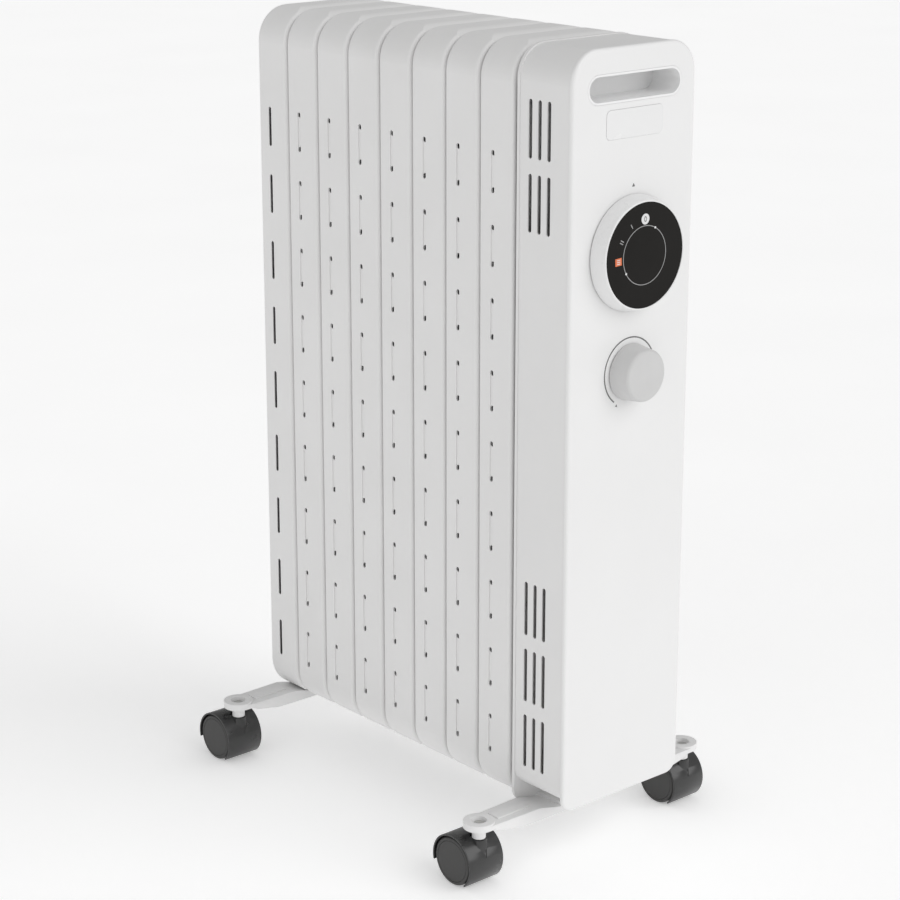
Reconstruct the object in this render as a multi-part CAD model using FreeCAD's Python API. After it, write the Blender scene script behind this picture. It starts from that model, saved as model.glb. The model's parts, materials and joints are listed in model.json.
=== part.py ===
"""Oil filled radiator heater on casters: eight oil fins behind a slim control box.

Millimetres.  +X is to the right of somebody facing the control panel, +Y goes back
along the fins and +Z is up.  The origin is on the floor, in the middle of the heater.
"""
import FreeCAD, Part
import math
import os

V = FreeCAD.Vector
X_AXIS = V(1, 0, 0)
Y_AXIS = V(0, 1, 0)
Z_AXIS = V(0, 0, 1)
EPS = 0.01
THROUGH = 5.0            # how far a cutting tool runs past the face it cuts

# ---------------------------------------------------------------- driving dimensions
# Caster wheels, hoods and stems.  Everything above them is stacked up from these.
wheel_r = 19.0
wheel_width = 10.4
wheel_edge_r = 2.0
wheel_bore_fit = 0.06
wheel_axle_end = 0.6     # air past the end of the axle inside a wheel
axle_r = 2.5
axle_grip = 7.6          # how far the axle reaches into a wheel
caster_half_width = 16.5
caster_trail = 12.2      # how far the axle sits behind the stem
hood_clearance = 0.9
hood_wall = 1.3
hood_front_angle = -48.0
hood_back_angle = -14.0
hood_side_inset = 0.3
hood_boss_r = 5.6
web_half = 1.6
hub_wheel_gap = 0.5
hub_above_axle = 2.5
hub_r = 6.2
stem_r = 4.0
stem_fit = 0.08
stem_in_hub = 2.5        # height of the hub's floor under the stem
stem_proud = 1.2         # the stem's riveted end, above the floor of the eye's recess
swivel_gap = 0.7         # between the hub and the collar above it
notch_half_width = 6.9
notch_above_hood = 1.3

# Feet.  Heights are above the highest point of a hood.
collar_r = 5.2
collar_into_hood = 1.6
foot_clearance = 0.4
foot_mid_thickness = 5.4
foot_neck_above = 4.1
eye_above = 6.8
eye_thickness = 5.3
eye_above_arm = 1.8
foot_eye_r = 12.0
eye_recess_r = 6.0
eye_recess_depth = 3.4
stem_out = 46.5          # a stem stands this far outside the fins
foot_belly_in = 33.6     # the deep middle of a foot starts this far inside a stem
foot_seat_past = 4.9     # the flat seat runs on past the flat underside of a fin
foot_rise_length = 18.0
foot_mid_half_y = 13.0
foot_bend_r = 24.0
rib_half_y = 5.5
rib_length = 32.0
rib_height = 1.0
rib_from_eye = 2.0

# Fins.
fin_count = 8
fin_pitch = 37.5
fin_half_width = 62.1
fin_height = 575.0
fin_corner_r = 27.0
fin_sheet = 0.7
fin_gap = 1.0            # between the walls of two neighbouring fins
fin_lip_r = 3.0          # rolled front edge of a fin's wall
fin_back_r = 4.5         # folded back edge of a fin's wall
fin_lip_land = 0.6
fin_top_run = 13.0       # the top sweeps down to the front edge over this length
fin_top_drop = 4.0
fin_low_run = 18.0       # and the bottom sweeps up to it
fin_low_rise = 8.5
fins_behind_box = 3.2

slit_pitch = 54.0
slit_length = 31.2
slit_width = 3.3
slit_from_back = 15.6
slit_below_top = 77.5
slit_above_bottom = 30.0
slit_end_hole = 4.2
slit_backing_half = 6.0
slit_backing_sheet = 0.7

air_window_half_x = 34.0
air_window_front = 9.0
air_window_back = 7.0

header_r = 16.0
header_wall = 1.6
header_above_bottom = 45.0
header_below_top = 60.0
plug_length = 8.0
plug_head = 2.4
channel_count = 3
channel_pitch = 30.0
channel_width = 18.0
channel_depth = 10.0
channel_wall = 0.9

# Control box.  Depths are measured back from the face of the panel.
panel_inside_fins = 1.4
panel_above_fin_bottom = 9.6
panel_below_fin_top = 0.4
panel_top_r = 24.0
panel_bottom_r = 11.0
panel_thickness = 3.0
panel_edge_r = 2.2
panel_rim_wall = 2.0
panel_rim_depth = 8.0
panel_rim_clearance = 0.4

box_depth = 55.2
shell_inset = 0.3
shell_sheet = 1.0
shell_front_edge = 0.6
shell_above_panel_bottom = 7.0
back_plate_thickness = 2.5
back_plate_proud = 0.4
back_plate_flange_in = 3.5   # its foot flange ends this far inside the foot's seat
tab_size = 12.0
tab_above_bottom = 144.4
tab_below_top = 140.6

vent_length = 42.0
vent_width = 3.6
vent_row_pitch = 52.7
vent_column_pitch = 9.5
vent_columns = 3
vent_first_column = 23.2
vent_rows_top = 2
vent_rows_bottom = 3
vent_below_top = 36.6
vent_above_bottom = 24.7

grip_from_side = 14.4
grip_height = 21.0
grip_below_top = 28.6
grip_depth = 26.0
grip_wall = 1.6
grip_lip = 3.0
inlay_clearance = 0.15   # round the grip cup and round the badge

badge_half_width = 28.0
badge_height = 21.0
badge_below_top = 54.1
badge_corner_r = 4.0
badge_thickness = 1.0
badge_sunk = 0.7

# Knobs and what they turn.
knob_gap = 0.8           # between a knob's skirt and the panel
knob_wall = 2.0
knob_hub_r = 6.5
selector_below_top = 147.3
selector_base_r = 42.3
selector_front_r = 39.6
selector_height = 12.1
selector_rim = 0.4
selector_edge_r = 0.9
selector_face_thickness = 1.5
selector_face_sunk = 0.5
thermostat_below_top = 234.8
thermostat_base_r = 21.0
thermostat_front_r = 19.2
thermostat_height = 16.6
thermostat_edge_r = 2.6
spindle_r = 3.0
spindle_hole_r = 4.2

bracket_y = 14.0
bracket_thickness = 1.5
bracket_half_x = 48.0
bracket_below = 32.0
bracket_above = 30.0
boss_r = 4.5
boss_inset = 7.0
screw_r = 1.9
screw_head_r = 3.6
screw_head_height = 2.2

switch_half_x = 19.0
switch_height = 34.0
switch_depth = 24.0
thermostat_half_x = 21.0
thermostat_body_height = 30.0
thermostat_depth = 19.0
block_edge_r = 1.6
blade_width = 6.3
blade_thickness = 0.8
blade_length = 8.0

terminal_ways = 3
terminal_half_x = 21.0
terminal_height = 17.0
terminal_depth = 14.0
terminal_above_bottom = 104.0
cutout_r = 8.5
cutout_height = 7.0
cutout_above_bottom = 159.0
lead_r = 1.3
lead_bend_r = 6.0
lead_lean = 1.0          # keeps the last bend of a lead from being a sharp right angle

element_flange_r = 22.0
element_flange_thickness = 4.0
gasket_thickness = 1.5
element_x = 5.5
element_r = 3.6
element_offset = 6.0
element_cold_length = 12.0
element_end_gap = 20.0
bead_r = 3.2
bead_length = 5.0
pin_r = 1.3
pin_length = 6.0

bush_above_bottom = 206.0
bush_y = 32.0
bush_bore_r = 3.8
bush_r = 6.5
bush_flange_r = 9.0
bush_flange_thickness = 2.0
bush_inside = 5.0

# Fasteners of the box and of the rear foot.
plate_bolt_r = 3.0
plate_bolt_head_r = 5.5
plate_bolt_head_height = 4.0
plate_bolt_grip = 8.0
stem_before_back = 15.7  # from the front stems back to the back of the box
stem_in_last_fin = 19.8  # from the last fin's front edge back to the rear stems
clamp_r = 3.0
clamp_clearance = 0.3
clamp_hole_fit = 0.2
clamp_nut_r = 6.0
clamp_nut_height = 5.0
clamp_tail = 2.0
clamp_wing_half = 11.0
clamp_wing_thickness = 2.4
clamp_wing_step = 1.0

# ---------------------------------------------------------------- derived places
# Heights, from the floor up.
hood_r = wheel_r + hood_clearance + hood_wall
hood_top = wheel_r + hood_r
hub_bottom = wheel_r + hub_above_axle
stem_bottom = hub_bottom + stem_in_hub
collar_bottom = hood_top - collar_into_hood
hub_top = collar_bottom - swivel_gap
notch_top = hood_top + notch_above_hood
foot_bottom = hood_top + foot_clearance
neck_bottom = hood_top + foot_neck_above
eye_bottom = hood_top + eye_above
eye_top = eye_bottom + eye_thickness
arm_top = eye_top - eye_above_arm
fin_bottom = foot_bottom + foot_mid_thickness
fin_top = fin_bottom + fin_height
header_low_z = fin_bottom + header_above_bottom
header_high_z = fin_top - header_below_top
panel_bottom = fin_bottom + panel_above_fin_bottom
panel_top = fin_top - panel_below_fin_top
shell_bottom = panel_bottom + shell_above_panel_bottom
grip_z = panel_top - grip_below_top
badge_z = panel_top - badge_below_top
selector_z = panel_top - selector_below_top
thermostat_z = panel_top - thermostat_below_top
terminal_z = fin_bottom + terminal_above_bottom
cutout_z = fin_bottom + cutout_above_bottom
bush_z = fin_bottom + bush_above_bottom
tab_zs = (panel_bottom + tab_above_bottom, panel_top - tab_below_top)
slit_span = fin_height - slit_below_top - slit_length - slit_above_bottom
slit_count = 1 + math.floor(slit_span / slit_pitch)

# Places across the heater.
panel_half_width = fin_half_width - panel_inside_fins
grip_half_length = panel_half_width - grip_from_side
stem_x = fin_half_width + stem_out
foot_belly_half_x = stem_x - foot_belly_in
foot_seat_half_x = fin_half_width - fin_corner_r + foot_seat_past
foot_rise_half_x = foot_seat_half_x + foot_rise_length
back_plate_flange_half_x = foot_seat_half_x - back_plate_flange_in
header_bore_r = header_r - header_wall
element_xs = (-element_x, element_x)
hub_half = caster_half_width - hood_side_inset - wheel_width - hub_wheel_gap

# Depths, from the front back.
wall_depth = fin_pitch - fin_gap
last_fin_depth = box_depth + fins_behind_box + (fin_count - 1) * fin_pitch
rear_stem_depth = last_fin_depth + stem_in_last_fin
front_reach = knob_gap + thermostat_height
rear_reach = rear_stem_depth + caster_trail + hood_r
panel_y = (front_reach - rear_reach) / 2
inside_y = panel_y + panel_thickness
back_y = panel_y + box_depth
back_front_y = back_y - back_plate_thickness
fins_y = back_y + fins_behind_box
front_stem_y = back_y - stem_before_back
rear_stem_y = panel_y + rear_stem_depth
bracket_back_y = panel_y + bracket_y + bracket_thickness
element_front_y = back_front_y - gasket_thickness - element_flange_thickness - element_cold_length
pin_front_y = element_front_y - bead_length - pin_length
caster_places = []
for end_name, place_y in (("front", front_stem_y), ("rear", rear_stem_y)):
    for side_name, place_x in (("left", -stem_x), ("right", stem_x)):
        caster_places.append((end_name + "_" + side_name, place_x, place_y))


# ---------------------------------------------------------------- shape helpers
def box(x0, x1, y0, y1, z0, z1):
    return Part.makeBox(x1 - x0, y1 - y0, z1 - z0, V(x0, y0, z0))


def rod(radius, start, end):
    span = end.sub(start)
    return Part.makeCylinder(radius, span.Length, start, span)


def upright(x0, x1, z0, z1, y0, y1, r_top, r_bottom):
    """A plate with rounded corners, standing across the heater from y0 back to y1."""
    corners = []
    for cx, cz, r, a in ((x1 - r_top, z1 - r_top, r_top, 0), (x0 + r_top, z1 - r_top, r_top, 90),
                         (x0 + r_bottom, z0 + r_bottom, r_bottom, 180),
                         (x1 - r_bottom, z0 + r_bottom, r_bottom, 270)):
        points = []
        for turn in (0, 45, 90):
            angle = math.radians(a + turn)
            points.append(V(cx + r * math.cos(angle), y0, cz + r * math.sin(angle)))
        corners.append(points)
    edges = []
    for i, points in enumerate(corners):
        edges.append(Part.Arc(*points).toShape())
        following = corners[(i + 1) % len(corners)][0]
        if points[2].distanceToPoint(following) > EPS:
            edges.append(Part.LineSegment(points[2], following).toShape())
    face = Part.Face(Part.Wire(edges))
    return face.extrude(V(0, y1 - y0, 0))


def edges_at(shape, y):
    """The edges of a shape that lie wholly in the plane at depth y."""
    found = []
    for edge in shape.Edges:
        low, high = edge.BoundBox.YMin, edge.BoundBox.YMax
        if abs(low - y) < EPS and abs(high - y) < EPS:
            found.append(edge)
    return found


def slot_across(y, z, length, width, x0, x1):
    """A slit with round ends, upright, cutting along X."""
    straight = length / 2 - width / 2
    tool = box(x0, x1, y - width / 2, y + width / 2, z - straight, z + straight)
    for end in (z - straight, z + straight):
        tool = tool.fuse(rod(width / 2, V(x0, y, end), V(x1, y, end)))
    return tool


def fuse(*shapes):
    whole = shapes[0]
    for shape in shapes[1:]:
        whole = whole.fuse(shape)
    return whole.removeSplitter()


def save(name, shape):
    shape.exportStep("parts/" + name + ".step")
    print("%-26s solids %d  valid %s  volume %.0f" % (
        name, len(shape.Solids), shape.isValid(), shape.Volume))


# ---------------------------------------------------------------- oil fins
def swept_block(y0, inset):
    """A long block with a fin's side view: its top and bottom sweep in to the front edge.

    inset moves the whole outline inwards, so the same view also serves the inside."""
    front = y0 + inset
    back = y0 + wall_depth + THROUGH
    outline = []
    for z, way, run, rise in ((fin_top, 1, fin_top_run, fin_top_drop),
                              (fin_bottom, -1, fin_low_run, fin_low_rise)):
        sweep_r = (run * run + rise * rise) / (2 * rise)
        centre_y = y0 + run
        centre_z = z - way * sweep_r
        r = sweep_r - inset
        reach = math.asin((centre_y - front) / r)
        arc = []
        for turn in (reach, reach / 2, 0):
            arc.append(V(0, centre_y - r * math.sin(turn), centre_z + way * r * math.cos(turn)))
        outline.append(arc)
    top, low = outline
    edges = [Part.Arc(*top).toShape(),
             Part.LineSegment(top[2], V(0, back, top[2].z)).toShape(),
             Part.LineSegment(V(0, back, top[2].z), V(0, back, low[2].z)).toShape(),
             Part.LineSegment(V(0, back, low[2].z), low[2]).toShape(),
             Part.Arc(*reversed(low)).toShape(),
             Part.LineSegment(low[0], top[0]).toShape()]
    face = Part.Face(Part.Wire(edges))
    face.translate(V(-fin_half_width - THROUGH, 0, 0))
    return face.extrude(V(2 * (fin_half_width + THROUGH), 0, 0))


def fin_form(y0, inset):
    """The outside of a fin's wall, or its inside when inset is the sheet's thickness."""
    y1 = y0 + wall_depth
    half = fin_half_width - inset
    corner = fin_corner_r - inset
    form = upright(-half, half, fin_bottom + inset, fin_top - inset, y0 + inset, y1 - inset,
                   corner, corner)
    form = form.makeFillet(fin_lip_r - inset, edges_at(form, y0 + inset))
    form = form.makeFillet(fin_back_r - inset, edges_at(form, y1 - inset))
    return form.common(swept_block(y0, inset))


def fin_wall(y0):
    """The folded wall of a fin and its upright web: a tray that is open at the front."""
    side_in = fin_lip_r + fin_lip_land
    mouth_r = fin_corner_r - side_in
    mouth = upright(-fin_half_width + side_in, fin_half_width - side_in,
                    fin_bottom + fin_low_rise + side_in, fin_top - fin_top_drop - side_in,
                    y0 - THROUGH, y0 + fin_lip_r, mouth_r, mouth_r)
    return fin_form(y0, 0).cut(fin_form(y0, fin_sheet)).cut(mouth)


def slit_places():
    """Every slit's height and side, both sides of a fin."""
    places = []
    for row in range(slit_count):
        z = fin_top - slit_below_top - slit_length / 2 - row * slit_pitch
        places.append((z, -1))
        places.append((z, 1))
    return places


def slit_backing(y0):
    """Two strips on the inside of the wall that close the slits, all but their ends."""
    y = y0 + wall_depth - slit_from_back
    outer = fin_half_width - fin_sheet
    inner = outer - slit_backing_sheet
    low = fin_bottom + fin_corner_r
    high = fin_top - fin_corner_r
    return [box(-outer, -inner, y - slit_backing_half, y + slit_backing_half, low, high),
            box(inner, outer, y - slit_backing_half, y + slit_backing_half, low, high)]


def fin_openings(y0, backed):
    """The slits in both sides and one window in the bottom."""
    tools = []
    y = y0 + wall_depth - slit_from_back
    for z, side in slit_places():
        outside = side * (fin_half_width + THROUGH)
        wall_inside = side * (fin_half_width - fin_sheet)
        inside = side * (fin_half_width - THROUGH)
        if not backed:
            tools.append(slot_across(y, z, slit_length, slit_width, *sorted((outside, inside))))
            continue
        tools.append(slot_across(y, z, slit_length, slit_width, *sorted((outside, wall_inside))))
        for end in (z - (slit_length - slit_end_hole) / 2, z + (slit_length - slit_end_hole) / 2):
            tools.append(slot_across(y, end, slit_end_hole, slit_width, *sorted((wall_inside, inside))))
    tools.append(box(-air_window_half_x, air_window_half_x, y0 + air_window_front,
                     y0 + wall_depth - air_window_back, fin_bottom - THROUGH,
                     fin_bottom + THROUGH))
    return tools


def fin(index):
    y0 = fins_y + index * fin_pitch
    web_y = y0 + wall_depth - fin_sheet / 2
    backed = index < fin_count - 1
    wall = fin_wall(y0)
    if backed:
        wall = fuse(wall, *slit_backing(y0))
    body = wall.cut(Part.makeCompound(fin_openings(y0, backed)))
    front = web_y + channel_depth / 2 - fin_pitch
    if index == 0:
        front = back_y
    rear = web_y + channel_depth / 2
    solids = []
    hollows = []
    for z in (header_low_z, header_high_z):
        solids.append(rod(header_r, V(0, front, z), V(0, rear, z)))
        bore_front = front - EPS
        if index == 0 and z == header_high_z:
            bore_front = front + plate_bolt_grip + channel_wall
            hollows.append(rod(plate_bolt_r, V(0, front - EPS, z), V(0, front + plate_bolt_grip, z)))
        hollows.append(rod(header_bore_r, V(0, bore_front, z), V(0, rear + EPS, z)))
    for column in range(channel_count):
        x = (column - (channel_count - 1) / 2) * channel_pitch
        half = channel_width / 2
        solids.append(box(x - half, x + half, web_y - channel_depth / 2,
                          web_y + channel_depth / 2, header_low_z, header_high_z))
        hollows.append(box(x - half + channel_wall, x + half - channel_wall,
                           web_y - channel_depth / 2 + channel_wall,
                           web_y + channel_depth / 2 - channel_wall,
                           header_low_z, header_high_z))
    span = channel_pitch * (channel_count - 1) / 2 + channel_width / 2
    for z in (header_low_z, header_high_z):
        solids.append(box(-span, span, web_y - channel_depth / 2, web_y + channel_depth / 2,
                          z - channel_width / 2, z + channel_width / 2))
        hollows.append(box(-span + channel_wall, span - channel_wall,
                           web_y - channel_depth / 2 + channel_wall,
                           web_y + channel_depth / 2 - channel_wall,
                           z - channel_width / 2 + channel_wall,
                           z + channel_width / 2 - channel_wall))
    body = fuse(body, *solids)
    return body.cut(Part.makeCompound(hollows))


def header_plug(y, z):
    """A plug in the rear end of a header: a shank in the bore and a low round head."""
    shank = rod(header_bore_r, V(0, y - plug_length, z), V(0, y, z))
    head = rod(header_r, V(0, y, z), V(0, y + plug_head, z))
    return fuse(shank, head)


# ---------------------------------------------------------------- heating element
def element_loop(x):
    """One tube that runs to the back of the lower header and returns above itself."""
    front = back_front_y - element_flange_thickness - element_cold_length
    rear = fins_y + fin_count * fin_pitch - element_end_gap
    low = V(x, front, header_low_z - element_offset)
    low_end = V(x, rear, header_low_z - element_offset)
    high_end = V(x, rear, header_low_z + element_offset)
    high = V(x, front, header_low_z + element_offset)
    middle = V(x, rear + element_offset, header_low_z)
    path = Part.Wire([Part.LineSegment(low, low_end).toShape(),
                      Part.Arc(low_end, middle, high_end).toShape(),
                      Part.LineSegment(high_end, high).toShape()])
    ring = Part.Wire(Part.makeCircle(element_r, low, Y_AXIS))
    return path.makePipeShell([ring], True, True)


# ---------------------------------------------------------------- control box
def vents(x0, x1):
    tools = []
    first_top = panel_top - vent_below_top
    first_low = panel_bottom + vent_above_bottom + vent_length
    tops = [first_top - row * vent_row_pitch for row in range(vent_rows_top)]
    lows = [first_low + row * vent_row_pitch for row in range(vent_rows_bottom)]
    for top in tops + lows:
        for column in range(vent_columns):
            y = panel_y + vent_first_column + column * vent_column_pitch
            tools.append(slot_across(y, top - vent_length / 2, vent_length, vent_width, x0, x1))
    return tools


def box_shell():
    half = panel_half_width - shell_inset
    top = panel_top - shell_inset
    outer = upright(-half, half, shell_bottom, top, inside_y, back_front_y,
                    panel_top_r, panel_bottom_r)
    outer = outer.makeChamfer(shell_front_edge, edges_at(outer, inside_y))
    s = shell_sheet
    inner = upright(-half + s, half - s, shell_bottom + s, top - s, inside_y - EPS,
                    back_front_y + EPS, panel_top_r - s, panel_bottom_r - s)
    tools = vents(-half - THROUGH, -half + THROUGH) + vents(half - THROUGH, half + THROUGH)
    tools.append(rod(bush_r, V(half - THROUGH, panel_y + bush_y, bush_z),
                     V(half + THROUGH, panel_y + bush_y, bush_z)))
    body = outer.cut(inner)
    for x, z in tab_places():
        side = math.copysign(1, x)
        edge = side * (half - s / 2)
        low, high = sorted((edge, x - side * tab_size / 2))
        body = body.fuse(box(low, high, back_front_y - s, back_front_y, z - tab_size / 2, z + tab_size / 2))
        body = body.cut(rod(screw_r, V(x, back_front_y - THROUGH, z), V(x, back_front_y + EPS, z)))
    return body.cut(Part.makeCompound(tools)).removeSplitter()


def tab_places():
    """Where the back plate is screwed to the shell."""
    x = panel_half_width - shell_inset - shell_sheet - tab_size / 2
    return [(side * x, z) for side in (-1, 1) for z in tab_zs]


def oblong(half_length, height, z, y0, y1):
    r = height / 2
    flat = half_length - r
    return fuse(box(-flat, flat, y0, y1, z - r, z + r),
                rod(r, V(-flat, y0, z), V(-flat, y1, z)),
                rod(r, V(flat, y0, z), V(flat, y1, z)))


def boss_places():
    """Where the control bracket is screwed to the back of the panel."""
    places = []
    for x in (-bracket_half_x + boss_inset, bracket_half_x - boss_inset):
        for z in (thermostat_z - bracket_below + boss_inset, selector_z + bracket_above - boss_inset):
            places.append((x, z))
    return places


def front_panel():
    plate = upright(-panel_half_width, panel_half_width, panel_bottom, panel_top, panel_y,
                    inside_y, panel_top_r, panel_bottom_r)
    plate = plate.makeFillet(panel_edge_r, edges_at(plate, panel_y))
    c = shell_inset + shell_sheet + panel_rim_clearance
    low = shell_bottom + shell_sheet + panel_rim_clearance
    rim_out = upright(-panel_half_width + c, panel_half_width - c, low, panel_top - c,
                      inside_y, inside_y + panel_rim_depth, panel_top_r - c,
                      panel_bottom_r - shell_sheet - panel_rim_clearance)
    w = c + panel_rim_wall
    rim_in = upright(-panel_half_width + w, panel_half_width - w, low + panel_rim_wall,
                     panel_top - w, inside_y - EPS, inside_y + panel_rim_depth + EPS,
                     panel_top_r - w, panel_bottom_r - shell_sheet - panel_rim_clearance - panel_rim_wall)
    body = fuse(plate, rim_out.cut(rim_in))
    for x, z in boss_places():
        body = body.fuse(rod(boss_r, V(x, inside_y - EPS, z), V(x, panel_y + bracket_y, z)))
        body = body.cut(rod(screw_r, V(x, inside_y, z), V(x, panel_y + bracket_y + EPS, z)))
    hole = oblong(grip_half_length + inlay_clearance, grip_height + 2 * inlay_clearance, grip_z,
                  panel_y - THROUGH, inside_y + THROUGH)
    body = body.cut(hole)
    for z in (selector_z, thermostat_z):
        body = body.cut(rod(spindle_hole_r, V(0, panel_y - THROUGH, z), V(0, inside_y + THROUGH, z)))
    pocket = upright(-badge_half_width, badge_half_width, badge_z - badge_height / 2,
                     badge_z + badge_height / 2, panel_y - THROUGH, panel_y + badge_sunk,
                     badge_corner_r, badge_corner_r)
    return body.cut(pocket).removeSplitter()


def grip_cup():
    """The finger pocket behind the slot in the panel, closed at the back."""
    outer = oblong(grip_half_length, grip_height, grip_z, panel_y, inside_y + grip_depth)
    lip = oblong(grip_half_length + grip_lip, grip_height + 2 * grip_lip, grip_z, inside_y,
                 inside_y + grip_wall)
    inner = oblong(grip_half_length - grip_wall, grip_height - 2 * grip_wall, grip_z,
                   panel_y - EPS, inside_y + grip_depth - grip_wall)
    return fuse(outer, lip).cut(inner)


def badge_plate():
    return upright(-badge_half_width + inlay_clearance, badge_half_width - inlay_clearance,
                   badge_z - badge_height / 2 + inlay_clearance,
                   badge_z + badge_height / 2 - inlay_clearance,
                   panel_y + badge_sunk - badge_thickness, panel_y + badge_sunk,
                   badge_corner_r - inlay_clearance, badge_corner_r - inlay_clearance)


def back_plate():
    half = panel_half_width + back_plate_proud
    plate = upright(-half, half, fin_bottom, panel_top + back_plate_proud, back_front_y,
                    back_y, panel_top_r, panel_bottom_r)
    flange = box(-back_plate_flange_half_x, back_plate_flange_half_x,
                 front_stem_y - foot_mid_half_y, back_y - EPS, fin_bottom,
                 fin_bottom + back_plate_thickness)
    body = fuse(plate, flange)
    body = body.cut(rod(header_bore_r, V(0, back_front_y - THROUGH, header_low_z),
                        V(0, back_y + THROUGH, header_low_z)))
    body = body.cut(rod(plate_bolt_r, V(0, back_front_y - THROUGH, header_high_z),
                        V(0, back_y + THROUGH, header_high_z)))
    for x, y in foot_screw_places():
        body = body.cut(rod(screw_r, V(x, y, fin_bottom - THROUGH),
                            V(x, y, fin_bottom + back_plate_thickness + EPS)))
    for x, z in tab_places():
        body = body.cut(rod(screw_r, V(x, back_front_y - THROUGH, z), V(x, back_y + THROUGH, z)))
    return body


# ---------------------------------------------------------------- knobs and controls
def tapered_knob(base_r, front_r, height, edge_r, z, recess):
    """A hollow knob with a sloping side.  recess is the (radius, depth) of its face."""
    y0 = panel_y - knob_gap
    y1 = y0 - height
    cone = Part.makeCone(base_r, front_r, height, V(0, y0, z), V(0, -1, 0))
    cone = cone.makeFillet(edge_r, edges_at(cone, y1))
    hollow = Part.makeCone(base_r - knob_wall, front_r - knob_wall, height - knob_wall - recess[1],
                           V(0, y0 + EPS, z), V(0, -1, 0))
    hub = rod(knob_hub_r, V(0, y0, z), V(0, y1 + recess[1] + knob_wall, z))
    knob = cone.cut(hollow).fuse(hub)
    if recess[1] > 0:
        knob = knob.cut(rod(recess[0], V(0, y1 - EPS, z), V(0, y1 + recess[1], z)))
    bore = rod(spindle_r, V(0, y0 + EPS, z), V(0, y1 + recess[1] + knob_wall, z))
    return knob.cut(bore).removeSplitter()


def spindle(z, height, recess, body_y):
    front = panel_y - knob_gap - height + recess + knob_wall
    return rod(spindle_r, V(0, front, z), V(0, body_y, z))


def control_bracket():
    z0 = thermostat_z - bracket_below
    z1 = selector_z + bracket_above
    body = box(-bracket_half_x, bracket_half_x, panel_y + bracket_y, bracket_back_y, z0, z1)
    for x, z in boss_places():
        body = body.cut(rod(screw_r, V(x, inside_y, z), V(x, bracket_back_y + EPS, z)))
    for z in (selector_z, thermostat_z):
        body = body.cut(rod(spindle_hole_r, V(0, inside_y, z), V(0, bracket_back_y + EPS, z)))
    return body


def control_body(half_x, height, depth, z):
    """A switch or thermostat block on the back of the bracket, with four blade terminals."""
    y0 = bracket_back_y
    y1 = y0 + depth
    body = box(-half_x, half_x, y0, y1, z - height / 2, z + height / 2)
    body = body.makeFillet(block_edge_r, edges_at(body, y1))
    body = body.cut(rod(spindle_r + stem_fit, V(0, y0 - EPS, z), V(0, y0 + depth / 2, z)))
    for x in (-half_x / 2, half_x / 2):
        for dz in (-height / 4, height / 4):
            blade = box(x - blade_width / 2, x + blade_width / 2, y1 - EPS, y1 + blade_length,
                        z + dz - blade_thickness / 2, z + dz + blade_thickness / 2)
            body = body.fuse(blade)
    return body.removeSplitter()


def pan_screws(places, along, length):
    """Separate screws, each starting at the outside of its head and running along the axis."""
    made = []
    for start in places:
        head = rod(screw_head_r, start, start.add(along * screw_head_height))
        shank = rod(screw_r, start.add(along * screw_head_height),
                    start.add(along * (screw_head_height + length)))
        made.append(head.fuse(shank).removeSplitter())
    return Part.makeCompound(made)


def element_flange():
    y1 = back_front_y - gasket_thickness
    disc = rod(element_flange_r, V(0, y1 - element_flange_thickness, header_low_z),
               V(0, y1, header_low_z))
    spigot = rod(header_bore_r, V(0, y1, header_low_z), V(0, back_y + THROUGH, header_low_z))
    body = fuse(disc, spigot)
    for x in element_xs:
        body = body.cut(element_holes(x))
    return body


def element_holes(x):
    tools = []
    for z in (header_low_z - element_offset, header_low_z + element_offset):
        tools.append(rod(element_r, V(x, panel_y, z), V(x, back_y + 2 * THROUGH, z)))
    return Part.makeCompound(tools)


def element_gasket():
    start = V(0, back_front_y - gasket_thickness, header_low_z)
    end = V(0, back_front_y, header_low_z)
    return rod(element_flange_r, start, end).cut(rod(header_bore_r, start, end))


def element_terminals():
    made = []
    for x in element_xs:
        for z in (header_low_z - element_offset, header_low_z + element_offset):
            bead = rod(bead_r, V(x, element_front_y - bead_length, z), V(x, element_front_y, z))
            pin = rod(pin_r, V(x, pin_front_y, z), V(x, element_front_y - bead_length, z))
            made.append(fuse(bead, pin))
    return Part.makeCompound(made)


def terminal_block():
    y0 = back_front_y - terminal_depth
    body = box(-terminal_half_x, terminal_half_x, y0, back_front_y,
               terminal_z - terminal_height / 2, terminal_z + terminal_height / 2)
    for i in range(terminal_ways):
        x = terminal_way_x(i)
        body = body.cut(rod(screw_head_r, V(x, y0 - EPS, terminal_z),
                            V(x, y0 + terminal_depth / 2, terminal_z)))
    return body


def terminal_way_x(i):
    return (i - (terminal_ways - 1) / 2) * 2 * terminal_half_x / terminal_ways


def thermal_cutout():
    body = rod(cutout_r, V(0, back_front_y - cutout_height, cutout_z), V(0, back_front_y, cutout_z))
    y = back_front_y - cutout_height / 2
    for x in (-cutout_r / 2, cutout_r / 2):
        body = body.fuse(box(x - blade_width / 4, x + blade_width / 4, y - blade_thickness / 2,
                             y + blade_thickness / 2, cutout_z - cutout_r - blade_length, cutout_z))
    return body.removeSplitter()


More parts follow.
